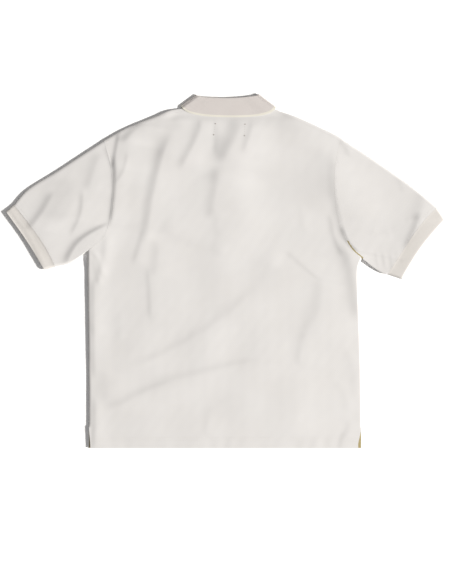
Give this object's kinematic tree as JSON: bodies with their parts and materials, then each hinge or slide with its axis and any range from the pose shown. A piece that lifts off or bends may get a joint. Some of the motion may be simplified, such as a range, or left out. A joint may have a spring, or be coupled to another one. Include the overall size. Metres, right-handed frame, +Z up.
{
  "type": "polo shirt",
  "caption": "Boxy short-sleeved knit polo shirt laid flat on its front, back side up, with rib collar and cuffs and a buttoned placket underneath",
  "frame": {"origin": "bottom centre of the bounding box, on the surface that the front of the shirt lies on", "axes": "+X is the wearer's right, across the shirt from cuff to cuff; +Y runs from the hem to the collar; +Z is up, out of the back"},
  "size_m": [0.9132, 0.7364, 0.009],
  "materials": {
    "body": "matte ecru knit",
    "rib": "matte beige rib knit",
    "button": "satin cream resin"
  },
  "bodies": {
    "root": {"front": "body", "back": "body", "sleeve_left": "body", "sleeve_right": "body", "collar": "rib", "cuff_left": "rib", "cuff_right": "rib", "placket_over": "body", "placket_under": "body", "button_1": "button", "button_2": "button"}
  },
  "joints": []
}
